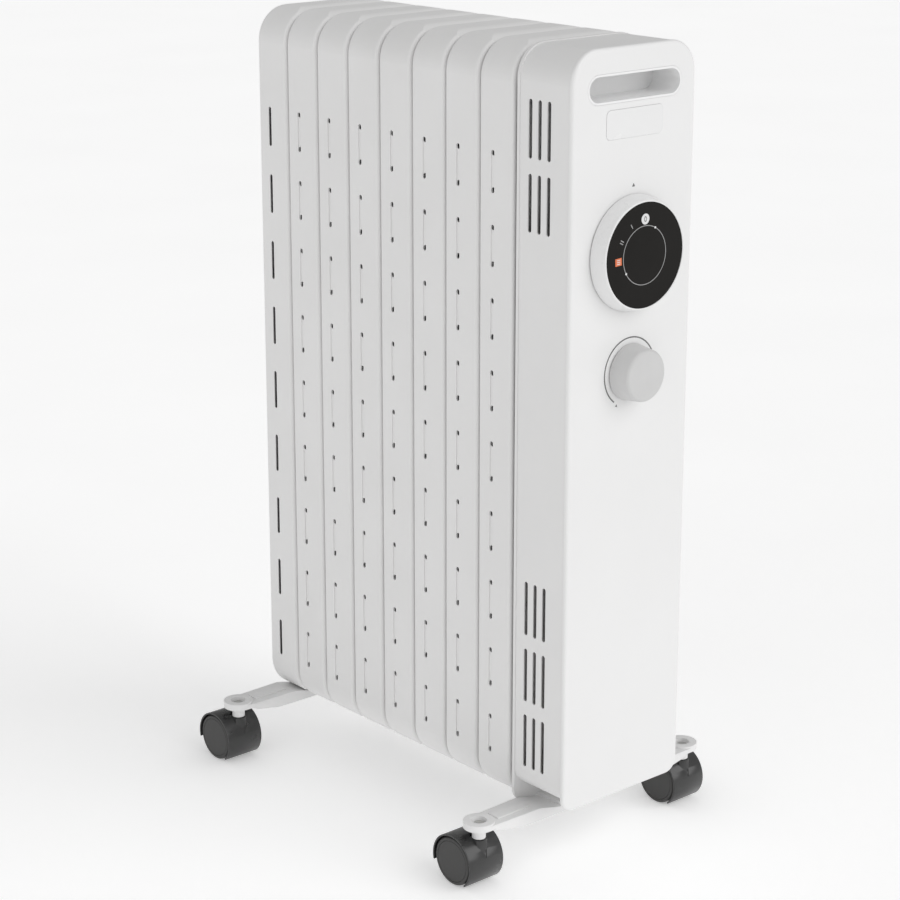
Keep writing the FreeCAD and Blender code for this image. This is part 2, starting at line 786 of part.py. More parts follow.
def tube_along(points, radius, bend_r):
    """A round lead through the points, with every corner turned by one arc."""
    edges = []
    start = points[0]
    for before, corner, after in zip(points, points[1:], points[2:]):
        d_in = corner.sub(before).normalize()
        d_out = after.sub(corner).normalize()
        turn = d_in.getAngle(d_out)
        cut_back = bend_r * math.tan(turn / 2)
        a = corner.sub(d_in * cut_back)
        b = corner.add(d_out * cut_back)
        to_centre = d_out.sub(d_in).normalize()
        bulge = bend_r / math.cos(turn / 2) - bend_r
        middle = corner.add(to_centre * bulge)
        edges.append(Part.LineSegment(start, a).toShape())
        edges.append(Part.Arc(a, middle, b).toShape())
        start = b
    edges.append(Part.LineSegment(start, points[-1]).toShape())
    ring = Part.Wire(Part.makeCircle(radius, points[0], points[1].sub(points[0])))
    return Part.Wire(edges).makePipeShell([ring], True, True)


def internal_leads():
    """Leads between the terminal block, cutout, thermostat, switch and elements."""
    switch_y = bracket_back_y + switch_depth + blade_length / 2
    stat_y = bracket_back_y + thermostat_depth + blade_length / 2
    block_y = back_front_y - terminal_depth / 2
    block_top = terminal_z + terminal_height / 2
    cutout_y = back_front_y - cutout_height / 2
    half_blade = blade_thickness / 2
    stat_low = thermostat_z - thermostat_body_height / 4 - half_blade
    stat_high = thermostat_z + thermostat_body_height / 4 + half_blade
    switch_low = selector_z - switch_height / 4 - half_blade
    switch_high = selector_z + switch_height / 4 + half_blade
    stat_x = thermostat_half_x / 2
    switch_x = switch_half_x / 2
    side_x = bracket_half_x - 2 * lead_bend_r
    clear = 3 * lead_bend_r
    pin_z = header_low_z + element_offset
    loop_y = inside_y + 2 * lead_bend_r
    routes = [
        [V(-stat_x, stat_y, stat_low), V(-stat_x, stat_y, stat_low - clear),
         V(terminal_way_x(0), block_y, block_top + 2 * clear), V(terminal_way_x(0), block_y, block_top)],
        [V(stat_x, stat_y, stat_high), V(stat_x, stat_y, stat_high + clear),
         V(switch_x, switch_y, switch_low - clear), V(switch_x, switch_y, switch_low)],
        [V(cutout_r / 2, cutout_y, cutout_z - cutout_r - blade_length),
         V(cutout_r / 2, cutout_y, block_top)],
    ]
    for side, start_z, way in ((-1, switch_low, -1), (1, switch_high, 1)):
        turn_z = start_z + way * clear
        routes.append([
            V(side * switch_x, switch_y, start_z), V(side * switch_x, switch_y, turn_z),
            V(side * side_x, switch_y, turn_z), V(side * side_x, switch_y, pin_z + 2 * clear),
            V(side * element_x, loop_y, pin_z + clear / 2), V(side * element_x, loop_y - lead_lean, pin_z),
            V(side * element_x, pin_front_y, pin_z)])
    return Part.makeCompound([tube_along(route, lead_r, lead_bend_r) for route in routes])


def cable_bush():
    """The round bush in the right side wall that the supply lead passes through."""
    wall = panel_half_width - shell_inset
    y = panel_y + bush_y
    barrel = rod(bush_r, V(wall - shell_sheet - bush_inside, y, bush_z), V(wall, y, bush_z))
    flange = rod(bush_flange_r, V(wall, y, bush_z), V(wall + bush_flange_thickness, y, bush_z))
    bore = rod(bush_bore_r, V(wall - shell_sheet - bush_inside - EPS, y, bush_z),
               V(wall + bush_flange_thickness + EPS, y, bush_z))
    return fuse(barrel, flange).cut(bore)


# ---------------------------------------------------------------- feet
def foot_screw_places():
    x = back_plate_flange_half_x / 2
    return [(-x, front_stem_y), (x, front_stem_y)]


def bend_edges(slab):
    """The edges across a foot's side view where it bends, between its two necks."""
    found = []
    for edge in slab.Edges:
        bounds = edge.BoundBox
        across = abs(bounds.XMin - bounds.XMax) < EPS and abs(bounds.ZMin - bounds.ZMax) < EPS
        if across and EPS < abs(bounds.XMin) < stem_x - foot_eye_r - EPS:
            found.append(edge)
    return found


def foot_blank(y):
    """The bar of a foot: a side view and a plan view, each drawn once and intersected."""
    neck = stem_x - foot_eye_r
    land = stem_x - eye_recess_r
    right = [(0, fin_bottom), (foot_seat_half_x, fin_bottom), (foot_rise_half_x, arm_top),
             (stem_x, arm_top), (stem_x, eye_bottom), (land, eye_bottom), (neck, neck_bottom),
             (foot_belly_half_x, foot_bottom)]
    left = [(-x, z) for x, z in reversed(right[1:])]
    outline = [V(x, y - 2 * foot_eye_r, z) for x, z in right + left]
    slab = Part.Face(Part.makePolygon(outline + outline[:1])).extrude(V(0, 4 * foot_eye_r, 0))
    slab = slab.makeFillet(foot_bend_r, bend_edges(slab))
    front = [(stem_x, -foot_eye_r), (neck, -foot_eye_r), (foot_rise_half_x, -foot_mid_half_y)]
    front += [(-x, dy) for x, dy in reversed(front)]
    points = [V(x, y + dy, 0) for x, dy in front + [(x, -dy) for x, dy in reversed(front)]]
    column = Part.Face(Part.makePolygon(points + points[:1])).extrude(V(0, 0, 2 * eye_top))
    bar = slab.common(column)
    for side in (-1, 1):
        x = side * stem_x
        bar = bar.fuse(rod(foot_eye_r, V(x, y, eye_bottom), V(x, y, eye_top)))
        rib_out = side * (neck - rib_from_eye)
        rib = sorted((rib_out, rib_out - side * rib_length))
        bar = bar.fuse(box(rib[0], rib[1], y - rib_half_y, y + rib_half_y, arm_top - rib_height,
                           arm_top + rib_height))
    return bar.removeSplitter()


def foot(y, holes):
    """A foot with an eye for a caster at each end.  holes are (x, y, radius) through the bar."""
    body = foot_blank(y)
    for x in (-stem_x, stem_x):
        body = body.cut(rod(eye_recess_r, V(x, y, eye_top - eye_recess_depth),
                            V(x, y, eye_top + THROUGH)))
        body = body.cut(rod(stem_r + stem_fit, V(x, y, 0), V(x, y, eye_top)))
    for x, hole_y, radius in holes:
        body = body.cut(rod(radius, V(x, hole_y, 0), V(x, hole_y, fin_bottom + EPS)))
    return body


def stem_bushes():
    made = []
    for _, x, y in caster_places:
        collar = rod(collar_r, V(x, y, collar_bottom), V(x, y, eye_bottom))
        made.append(collar.cut(rod(stem_r + stem_fit, V(x, y, 0), V(x, y, eye_top))))
    return Part.makeCompound(made)


def clamp_leg_x():
    return header_r + clamp_clearance + clamp_r


def clamp_bolt():
    """A round bar bent over the rear fin's lower header, its two ends through the foot."""
    x = clamp_leg_x()
    low = foot_bottom - clamp_nut_height - clamp_tail
    y = rear_stem_y
    path = Part.Wire([
        Part.LineSegment(V(-x, y, low), V(-x, y, header_low_z)).toShape(),
        Part.Arc(V(-x, y, header_low_z), V(0, y, header_low_z + x), V(x, y, header_low_z)).toShape(),
        Part.LineSegment(V(x, y, header_low_z), V(x, y, low)).toShape()])
    ring = Part.Wire(Part.makeCircle(clamp_r, V(-x, y, low), Z_AXIS))
    return path.makePipeShell([ring], True, True)


def clamp_nuts():
    z0 = foot_bottom - clamp_nut_height
    made = []
    for x in (-clamp_leg_x(), clamp_leg_x()):
        nut = rod(clamp_nut_r, V(x, rear_stem_y, z0), V(x, rear_stem_y, foot_bottom))
        wings = box(x - clamp_wing_half, x + clamp_wing_half, rear_stem_y - clamp_wing_thickness / 2,
                    rear_stem_y + clamp_wing_thickness / 2, z0, foot_bottom - clamp_wing_step)
        hole = rod(clamp_r, V(x, rear_stem_y, 0), V(x, rear_stem_y, foot_bottom))
        made.append(fuse(nut, wings).cut(hole))
    return Part.makeCompound(made)


# ---------------------------------------------------------------- casters
def around_axle(inner_r, outer_r, x0, x1, y, start, sweep):
    """Part of a ring round the axle, from start degrees (0 is straight back, 90 is up)."""
    z = wheel_r
    corners = [V(x0, y + inner_r, z), V(x1, y + inner_r, z), V(x1, y + outer_r, z), V(x0, y + outer_r, z)]
    face = Part.Face(Part.makePolygon(corners + corners[:1]))
    face.rotate(V(0, y, z), X_AXIS, start)
    return face.revolve(V(0, y, z), X_AXIS, sweep)


def hood(x, y):
    """The cover over a caster's two wheels, with the web and hub that hold axle and stem."""
    axle_y = y + caster_trail
    start = hood_back_angle
    sweep = 180 - hood_front_angle - hood_back_angle
    shell = around_axle(hood_r - hood_wall, hood_r, x - caster_half_width, x + caster_half_width,
                        axle_y, start, sweep)
    web = around_axle(axle_r, hood_r - hood_wall / 2, x - hub_half, x + hub_half, axle_y, start, sweep)
    thin = around_axle(axle_r + 2 * hood_wall, hood_r - hood_wall, x - hub_half - EPS, x - web_half,
                       axle_y, 0, 360)
    thin_right = around_axle(axle_r + 2 * hood_wall, hood_r - hood_wall, x + web_half,
                             x + hub_half + EPS, axle_y, 0, 360)
    web = web.cut(thin).cut(thin_right)
    boss = rod(hood_boss_r, V(x - hub_half, axle_y, wheel_r), V(x + hub_half, axle_y, wheel_r))
    hub = rod(hub_r, V(x, y, hub_bottom), V(x, y, hub_top))
    hub = hub.common(box(x - hub_half, x + hub_half, y - hub_r, y + hub_r, hub_bottom, hub_top))
    tip = V(x, y - 2 * hood_r, stem_bottom)
    left = V(x - notch_half_width, y - 2 * hood_r, notch_top)
    right = V(x + notch_half_width, y - 2 * hood_r, notch_top)
    vee = Part.Face(Part.makePolygon([tip, left, right, tip])).extrude(V(0, 2 * hood_r, 0))
    shell = shell.cut(vee)
    web = web.cut(rod(notch_half_width + hood_wall / 4, V(x, y, hub_top), V(x, y, 2 * hood_r)))
    shell = shell.cut(rod(notch_half_width + hood_wall / 4, V(x, y, hub_top), V(x, y, 2 * hood_r)))
    body = fuse(shell, web, boss, hub)
    body = body.cut(rod(axle_r, V(x - caster_half_width, axle_y, wheel_r),
                        V(x + caster_half_width, axle_y, wheel_r)))
    return body.cut(rod(stem_r, V(x, y, stem_bottom), V(x, y, 2 * hood_r)))


def wheel(x, y, side):
    """One wheel.  side is -1 for the left wheel of a caster and 1 for the right one."""
    axle_y = y + caster_trail
    inner = x + side * (hub_half + hub_wheel_gap)
    outer = inner + side * wheel_width
    body = rod(wheel_r, V(inner, axle_y, wheel_r), V(outer, axle_y, wheel_r))
    rims = [e for e in body.Edges if e.BoundBox.XLength < EPS]
    body = body.makeFillet(wheel_edge_r, rims)
    return body.cut(rod(axle_r + wheel_bore_fit, V(inner - side * EPS, axle_y, wheel_r),
                        V(inner + side * (axle_grip + wheel_axle_end), axle_y, wheel_r)))


def axle(x, y):
    reach = hub_half + hub_wheel_gap + axle_grip
    return rod(axle_r, V(x - reach, y + caster_trail, wheel_r), V(x + reach, y + caster_trail, wheel_r))


def stem(x, y):
    return rod(stem_r, V(x, y, stem_bottom), V(x, y, eye_top - eye_recess_depth + stem_proud))


# ---------------------------------------------------------------- the whole heater
os.makedirs("parts", exist_ok=True)

for number in range(fin_count):
    save("fin_%d" % (number + 1), fin(number))
plug_y = fins_y + (fin_count - 1) * fin_pitch + wall_depth - fin_sheet / 2 + channel_depth / 2
save("header_plugs", Part.makeCompound([header_plug(plug_y, header_low_z),
                                        header_plug(plug_y, header_high_z)]))
save("heating_elements", Part.makeCompound([element_loop(x) for x in element_xs]))
save("element_flange", element_flange())
save("element_gasket", element_gasket())
save("element_terminals", element_terminals())

save("back_plate", back_plate())
save("box_shell", box_shell())
save("front_panel", front_panel())
save("grip_cup", grip_cup())
save("badge_plate", badge_plate())
save("cable_bush", cable_bush())

selector_recess = selector_face_thickness + selector_face_sunk
face_r = selector_front_r - selector_edge_r - selector_rim
face_back = panel_y - knob_gap - selector_height + selector_recess
save("selector_knob", tapered_knob(selector_base_r, selector_front_r, selector_height,
                                   selector_edge_r, selector_z, (face_r, selector_recess)))
save("selector_face", rod(face_r, V(0, face_back - selector_face_thickness, selector_z),
                          V(0, face_back, selector_z)))
save("selector_spindle", spindle(selector_z, selector_height, selector_recess,
                                 bracket_back_y + switch_depth / 4))
save("thermostat_knob", tapered_knob(thermostat_base_r, thermostat_front_r, thermostat_height,
                                     thermostat_edge_r, thermostat_z, (0, 0)))
save("thermostat_spindle", spindle(thermostat_z, thermostat_height, 0,
                                   bracket_back_y + thermostat_depth / 4))
save("control_bracket", control_bracket())
save("rotary_switch", control_body(switch_half_x, switch_height, switch_depth, selector_z))
save("thermostat", control_body(thermostat_half_x, thermostat_body_height, thermostat_depth,
                                thermostat_z))
save("thermal_cutout", thermal_cutout())
save("terminal_block", terminal_block())
save("internal_leads", internal_leads())

screw_length = bracket_thickness + bracket_y - panel_thickness
save("bracket_screws", pan_screws([V(x, bracket_back_y + screw_head_height, z) for x, z in boss_places()],
                                  V(0, -1, 0), screw_length))
save("shell_screws", pan_screws([V(x, back_y + screw_head_height, z) for x, z in tab_places()],
                                V(0, -1, 0), back_plate_thickness + shell_sheet))
save("plate_bolt", fuse(
    rod(plate_bolt_head_r, V(0, back_front_y - plate_bolt_head_height, header_high_z),
        V(0, back_front_y, header_high_z)),
    rod(plate_bolt_r, V(0, back_front_y, header_high_z), V(0, back_y + plate_bolt_grip, header_high_z))))

front_holes = [(x, y, screw_r) for x, y in foot_screw_places()]
rear_holes = [(x, rear_stem_y, clamp_r + clamp_hole_fit) for x in (-clamp_leg_x(), clamp_leg_x())]
save("front_foot", foot(front_stem_y, front_holes))
save("rear_foot", foot(rear_stem_y, rear_holes))
save("foot_screws", pan_screws([V(x, y, foot_bottom - screw_head_height) for x, y in foot_screw_places()],
                               Z_AXIS, foot_mid_thickness + back_plate_thickness))
save("clamp_bolt", clamp_bolt())
save("clamp_nuts", clamp_nuts())
save("stem_bushes", stem_bushes())

for place, place_x, place_y in caster_places:
    save("caster_hood_" + place, hood(place_x, place_y))
    save("caster_stem_" + place, stem(place_x, place_y))
    save("caster_axle_" + place, axle(place_x, place_y))
    save("caster_wheel_" + place + "_a", wheel(place_x, place_y, -1))
    save("caster_wheel_" + place + "_b", wheel(place_x, place_y, 1))
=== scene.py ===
# %% [markdown]
# # Oil filled radiator heater
#
# The heater is a row of pressed steel fins, a slim control box in front of them and two
# plastic feet on twin-wheel casters.  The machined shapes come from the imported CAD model.
# This lesson gives them their finishes, softens the moulded parts, models the wheels and
# the printed marks, and sets up a plain studio around them.

import json
import math

import bmesh
import bpy
from mathutils import Matrix, Vector


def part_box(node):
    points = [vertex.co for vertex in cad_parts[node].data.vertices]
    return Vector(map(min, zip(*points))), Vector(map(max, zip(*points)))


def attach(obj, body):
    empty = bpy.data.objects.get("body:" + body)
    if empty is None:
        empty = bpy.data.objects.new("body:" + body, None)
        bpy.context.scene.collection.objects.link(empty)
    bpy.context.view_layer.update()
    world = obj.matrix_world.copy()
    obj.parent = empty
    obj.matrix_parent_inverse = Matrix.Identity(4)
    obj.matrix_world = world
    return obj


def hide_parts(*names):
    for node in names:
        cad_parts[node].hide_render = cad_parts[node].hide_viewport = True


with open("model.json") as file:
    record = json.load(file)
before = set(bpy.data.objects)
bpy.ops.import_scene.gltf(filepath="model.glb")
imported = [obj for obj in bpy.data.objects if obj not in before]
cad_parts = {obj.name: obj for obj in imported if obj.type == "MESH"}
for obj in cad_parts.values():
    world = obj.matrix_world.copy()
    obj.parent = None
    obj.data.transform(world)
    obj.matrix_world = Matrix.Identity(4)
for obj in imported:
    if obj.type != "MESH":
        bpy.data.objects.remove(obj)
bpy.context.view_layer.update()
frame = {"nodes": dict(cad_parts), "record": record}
nodes = frame["nodes"]
MM = 0.001

# %% [markdown]
# ## Camera
#
# A product shot is taken from a little above with a long lens, so that upright edges stay
# nearly upright.  The camera is placed on a sphere round an aim point: a direction, a
# height angle and a distance are easier to reason about than three raw coordinates.

# %% Camera
aim = Vector((-0.016, 0.0, 0.318))
around = math.radians(-41.1)
above = math.radians(16.15)
distance = 1.861
back = Vector((math.sin(around) * math.cos(above), -math.cos(around) * math.cos(above),
               math.sin(above)))

lens = bpy.data.cameras.new("studio_camera")
lens.lens = 95.7
lens.sensor_width = 36.0
lens.shift_y = -0.04
camera = bpy.data.objects.new("studio_camera", lens)
bpy.context.scene.collection.objects.link(camera)
camera.location = aim + back * distance
camera.rotation_euler = (-back).to_track_quat("-Z", "Y").to_euler()
bpy.context.scene.camera = camera
print("camera at", [round(v, 3) for v in camera.location])

# %% [markdown]
# ## Studio
#
# White goods are photographed on a light table, because white paint needs a brighter
# surround to read as white.  The floor has a little light of its own, a broad key light
# stands to the front right, a weak fill to the left, and the sky lifts the shadows.  Suns
# with a wide angle are used instead of area lights because they light the whole floor
# evenly, whatever its size.

# %% Studio light
scene = bpy.context.scene
scene.view_settings.view_transform = "Standard"
world = bpy.data.worlds.new("soft_sky")
world.use_nodes = True
world.node_tree.nodes["Background"].inputs["Color"].default_value = (1.0, 1.0, 1.0, 1)
world.node_tree.nodes["Background"].inputs["Strength"].default_value = 0.46
scene.world = world


def soft_sun(name, azimuth, elevation, strength, spread):
    """A sun that shines from the given direction, spread over an angle in degrees."""
    sun = bpy.data.lights.new(name, "SUN")
    sun.energy = strength
    sun.angle = math.radians(spread)
    lamp = bpy.data.objects.new(name, sun)
    scene.collection.objects.link(lamp)
    a, e = math.radians(azimuth), math.radians(elevation)
    towards = Vector((math.sin(a) * math.cos(e), -math.cos(a) * math.cos(e), math.sin(e)))
    lamp.rotation_euler = towards.to_track_quat("Z", "Y").to_euler()
    return lamp


key = soft_sun("key_light", 22, 32, 1.05, 50)
fill = soft_sun("fill_light", -80, 24, 0.36, 60)
print("key", key.data.energy, "fill", fill.data.energy)

# %% [markdown]
# ## Shader groups
#
# Real paint and real plastic are never one even colour.  Two small node groups are shared
# by nearly every finish here.  The first mixes two tones and two roughness values with a
# slow noise, as coating thickness and handling do.  The second makes the fine relief that
# the bump node turns into texture: orange peel on paint, spark-eroded grain on plastic.

# %% Group helpers
def new_group(name, inputs, outputs):
    """A shader node group with named sockets; each one is (name, socket type)."""
    tree = bpy.data.node_groups.new(name, "ShaderNodeTree")
    for socket_name, kind in inputs:
        tree.interface.new_socket(name=socket_name, in_out="INPUT", socket_type=kind)
    for socket_name, kind in outputs:
        tree.interface.new_socket(name=socket_name, in_out="OUTPUT", socket_type=kind)
    return tree, tree.nodes.new("NodeGroupInput"), tree.nodes.new("NodeGroupOutput")


FLOAT, COLOUR, VECTOR = "NodeSocketFloat", "NodeSocketColor", "NodeSocketVector"

# %% Group: tone drift
drift, group_in, group_out = new_group(
    "tone_drift",
    [("Place", VECTOR), ("Patches", FLOAT), ("Tone A", COLOUR), ("Tone B", COLOUR),
     ("Rough A", FLOAT), ("Rough B", FLOAT)],
    [("Tone", COLOUR), ("Rough", FLOAT)])
clouds = drift.nodes.new("ShaderNodeTexNoise")
clouds.inputs["Detail"].default_value = 4.0
clouds.inputs["Roughness"].default_value = 0.55
spread = drift.nodes.new("ShaderNodeMapRange")
spread.inputs["From Min"].default_value = 0.3
spread.inputs["From Max"].default_value = 0.7
tones = drift.nodes.new("ShaderNodeMix")
tones.data_type = "RGBA"
roughs = drift.nodes.new("ShaderNodeMix")
drift.links.new(group_in.outputs["Place"], clouds.inputs["Vector"])
drift.links.new(group_in.outputs["Patches"], clouds.inputs["Scale"])
drift.links.new(clouds.outputs["Fac"], spread.inputs["Value"])
drift.links.new(spread.outputs["Result"], tones.inputs["Factor"])
drift.links.new(group_in.outputs["Tone A"], tones.inputs["A"])
drift.links.new(group_in.outputs["Tone B"], tones.inputs["B"])
drift.links.new(spread.outputs["Result"], roughs.inputs[0])
drift.links.new(group_in.outputs["Rough A"], roughs.inputs[2])
drift.links.new(group_in.outputs["Rough B"], roughs.inputs[3])
drift.links.new(tones.outputs["Result"], group_out.inputs["Tone"])
drift.links.new(roughs.outputs[0], group_out.inputs["Rough"])
print("group", drift.name, "with", len(drift.nodes), "nodes")

# %% Group: fine relief
relief, group_in, group_out = new_group(
    "fine_relief", [("Place", VECTOR), ("Grains", FLOAT), ("Bite", FLOAT)], [("Height", FLOAT)])
grain = relief.nodes.new("ShaderNodeTexNoise")
grain.inputs["Detail"].default_value = 2.0
bite = relief.nodes.new("ShaderNodeMath")
bite.operation = "POWER"
relief.links.new(group_in.outputs["Place"], grain.inputs["Vector"])
relief.links.new(group_in.outputs["Grains"], grain.inputs["Scale"])
relief.links.new(grain.outputs["Fac"], bite.inputs[0])
relief.links.new(group_in.outputs["Bite"], bite.inputs[1])
relief.links.new(bite.outputs[0], group_out.inputs["Height"])
print("group", relief.name, "with", len(relief.nodes), "nodes")

# %% [markdown]
# ## Finishes
#
# One function builds each finish from the two groups.  Every texture reads Object
# coordinates in metres, so a scale of 600 means about 600 grains in a metre.  Sizes are
# chosen as on the real surface: orange peel near 1.5 mm, moulded grain near 0.4 mm.

# %% A finish from the two groups
def finish(name, tones, rough, patches, grains, depth, bite=1.0, metal=0.0, stretch=(1, 1, 1),
           gloss=0.5, coat=0.0):
    """A Principled material.  tones and rough are pairs; depth is the relief in metres."""
    material = bpy.data.materials.new(name)
    material.use_nodes = True
    tree = material.node_tree
    shader = tree.nodes["Principled BSDF"]
    place = tree.nodes.new("ShaderNodeTexCoord")
    mapping = tree.nodes.new("ShaderNodeMapping")
    mapping.inputs["Scale"].default_value = stretch
    tree.links.new(place.outputs["Object"], mapping.inputs["Vector"])
    colour = tree.nodes.new("ShaderNodeGroup")
    colour.node_tree = drift
    colour.inputs["Patches"].default_value = patches
    colour.inputs["Tone A"].default_value = (*tones[0], 1)
    colour.inputs["Tone B"].default_value = (*tones[1], 1)
    colour.inputs["Rough A"].default_value = rough[0]
    colour.inputs["Rough B"].default_value = rough[1]
    surface = tree.nodes.new("ShaderNodeGroup")
    surface.node_tree = relief
    surface.inputs["Grains"].default_value = grains
    surface.inputs["Bite"].default_value = bite
    bump = tree.nodes.new("ShaderNodeBump")
    bump.inputs["Strength"].default_value = 1.0
    bump.inputs["Distance"].default_value = depth
    tree.links.new(mapping.outputs["Vector"], colour.inputs["Place"])
    tree.links.new(mapping.outputs["Vector"], surface.inputs["Place"])
    tree.links.new(surface.outputs["Height"], bump.inputs["Height"])
    tree.links.new(colour.outputs["Tone"], shader.inputs["Base Color"])
    tree.links.new(colour.outputs["Rough"], shader.inputs["Roughness"])
    tree.links.new(bump.outputs["Normal"], shader.inputs["Normal"])
    shader.inputs["Metallic"].default_value = metal
    shader.inputs["Specular IOR Level"].default_value = gloss
    shader.inputs["Coat Weight"].default_value = coat
    return material


def grey(level, warmth=0.0):
    """A grey in linear light, made a little warmer by warmth."""
    return (level + warmth, level, level - warmth)


# %% Paint
fin_paint = finish("fin_powder_coat", (grey(0.80, 0.004), grey(0.83, 0.003)), (0.42, 0.50),
                   14, 620, 0.00006)
shell_paint = finish("shell_powder_coat", (grey(0.80, 0.003), grey(0.82, 0.003)), (0.34, 0.42),
                     16, 620, 0.00005)
print("paints", fin_paint.name, shell_paint.name)

# %% Moulded plastics
panel_plastic = finish("panel_plastic", (grey(0.84, 0.002), grey(0.86, 0.001)), (0.30, 0.37),
                       9, 1500, 0.00001)
# The grip plastic is white moulding, made whiter here than the panel plastic: painted light that
# lifts the shade inside the handle recess.
grip_plastic = finish("grip_plastic", (grey(0.88), grey(0.90)), (0.36, 0.44), 20, 1500, 0.00002)
badge_plastic = finish("badge_plastic", (grey(0.83), grey(0.85)), (0.22, 0.28), 30, 1500, 0.00001)
knob_white = finish("knob_white", (grey(0.82), grey(0.84)), (0.26, 0.33), 40, 1800, 0.00001)
knob_grey = finish("knob_grey", (grey(0.60, 0.002), grey(0.63, 0.002)), (0.40, 0.48),
                   40, 2400, 0.00002)
dial_black = finish("dial_gloss_black", ((0.008, 0.007, 0.006), (0.010, 0.009, 0.008)),
                    (0.16, 0.22), 30, 900, 0.000003, gloss=0.13)
foot_plastic = finish("foot_plastic", (grey(0.82, 0.002), grey(0.84, 0.002)), (0.30, 0.38),
                      22, 1600, 0.00002)
caster_black = finish("caster_hood_plastic", ((0.016, 0.016, 0.016), (0.022, 0.022, 0.022)),
                      (0.26, 0.34), 60, 2600, 0.00002, gloss=0.7)
wheel_black = finish("wheel_nylon", ((0.038, 0.038, 0.037), (0.052, 0.051, 0.050)),
                     (0.42, 0.60), 120, 2200, 0.00004)
print("plastics made")

# %% Metals, seals and insulation
zinc_steel = finish("zinc_plate", (grey(0.52), (0.60, 0.60, 0.57)), (0.26, 0.42), 260, 1800,
                    0.00001, metal=1.0)
element_steel = finish("drawn_tube_steel", (grey(0.26, 0.01), grey(0.38, 0.015)), (0.30, 0.50),
                       80, 900, 0.00002, metal=1.0, stretch=(1, 0.1, 1))
flange_brass = finish("turned_brass", ((0.62, 0.42, 0.15), (0.72, 0.52, 0.22)), (0.22, 0.36),
                      90, 1400, 0.00001, metal=1.0)
gasket_rubber = finish("seal_rubber", (grey(0.025), grey(0.045)), (0.70, 0.85), 120, 2000, 0.00005)
terminal_ceramic = finish("glazed_ceramic", ((0.74, 0.72, 0.66), (0.82, 0.80, 0.75)),
                          (0.16, 0.24), 90, 800, 0.00002)
switch_black = finish("switch_moulding", (grey(0.03), grey(0.05)), (0.45, 0.60), 70, 2400, 0.00002)
block_white = finish("terminal_moulding", (grey(0.66, 0.01), grey(0.74, 0.01)), (0.40, 0.50),
                     60, 2000, 0.00002)
lead_insulation = finish("silicone_sleeve", ((0.20, 0.09, 0.05), (0.27, 0.13, 0.08)),
                         (0.45, 0.58), 90, 2400, 0.00002)
bush_black = finish("bush_nylon", (grey(0.015), grey(0.03)), (0.40, 0.52), 90, 2400, 0.00002)
print("materials so far", len(bpy.data.materials))

# %% [markdown]
# ## Finishes on the CAD parts
#
# The record says which slot each CAD part takes its finish from, so one table from slot to
# material dresses all of them, and a part that is added later is dressed as well.

# %% Dress the CAD parts
finish_of_slot = {
    "fin_paint": fin_paint, "shell_paint": shell_paint, "panel_plastic": panel_plastic,
    "grip_plastic": grip_plastic, "badge_plastic": badge_plastic, "knob_white": knob_white,
    "dial_black": dial_black, "knob_grey": knob_grey, "foot_plastic": foot_plastic,
    "caster_black": caster_black, "wheel_black": wheel_black, "zinc_steel": zinc_steel,
    "element_steel": element_steel, "flange_brass": flange_brass,
    "gasket_rubber": gasket_rubber, "terminal_ceramic": terminal_ceramic,
    "switch_black": switch_black, "block_white": block_white,
    "lead_insulation": lead_insulation, "bush_black": bush_black,
}
slot_of_node = {part["node"]: part["material_slot"] for part in frame["record"]["subparts"]}


def dress(piece, material):
    piece.data.materials.clear()
    piece.data.materials.append(material)


for node_name, part in nodes.items():
    dress(part, finish_of_slot[slot_of_node[node_name]])
print("dressed", len(nodes), "parts from", len(finish_of_slot), "finishes")

# %% [markdown]
# ## Softened mouldings
#
# Feet and caster hoods are injection moulded, and a moulded edge is never knife sharp.  A
# copy of the CAD mesh is welded, its flat triangles are joined back into whole faces, and
# a bevel rounds the edges that are still sharp.  The original part stays where it is for
# the simulation and is hidden here.

# %% Softened copies
def softened(name, node, body, width, segments, sharp_angle):
    work = bmesh.new()
    work.from_mesh(nodes[node].data)
    bmesh.ops.remove_doubles(work, verts=work.verts, dist=0.01 * MM)
    bmesh.ops.dissolve_limit(work, angle_limit=math.radians(0.5), verts=work.verts,
                             edges=work.edges)
    limit = math.radians(sharp_angle)
    sharp = [e for e in work.edges if len(e.link_faces) == 2 and e.calc_face_angle() > limit]
    bmesh.ops.bevel(work, geom=sharp, offset=width, offset_type="OFFSET", segments=segments,
                    profile=0.5, affect="EDGES", clamp_overlap=True, material=-1)
    piece = finished_piece(name, work, nodes[node].data.materials[0], body)
    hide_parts(node)
    return piece


def finished_piece(name, work, material, body, smooth_angle=40.0):
    """Turn a bmesh into a piece that rides on a body, shaded smooth up to an angle."""
    mesh = bpy.data.meshes.new(name)
    work.to_mesh(mesh)
    work.free()
    mesh.shade_smooth()
    mesh.set_sharp_from_angle(angle=math.radians(smooth_angle))
    piece = bpy.data.objects.new(name, mesh)
    scene.collection.objects.link(piece)
    dress(piece, material)
    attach(piece, body)
    return piece


for node_name in ("front_foot", "rear_foot"):
    piece = softened(node_name + "_moulding", node_name, "root", 1.5 * MM, 3, 35)
    print(piece.name, len(piece.data.polygons), "faces")

corners = ("front_left", "front_right", "rear_left", "rear_right")
for corner in corners:
    piece = softened("hood_moulding_" + corner, "caster_hood_" + corner, "caster_" + corner,
                     0.35 * MM, 2, 35)
print(piece.name, len(piece.data.polygons), "faces")

# %% [markdown]
# ## Wheels
#
# A caster wheel is a turned shape, so half its section is drawn as a short line of points
# and spun round the axle.  The tread has rounded shoulders, the outer face is slightly
# domed inside a shallow groove, and the inner face has a pocket round its hub.  The bore
# stops short of the outer face, as on a snap-on wheel.

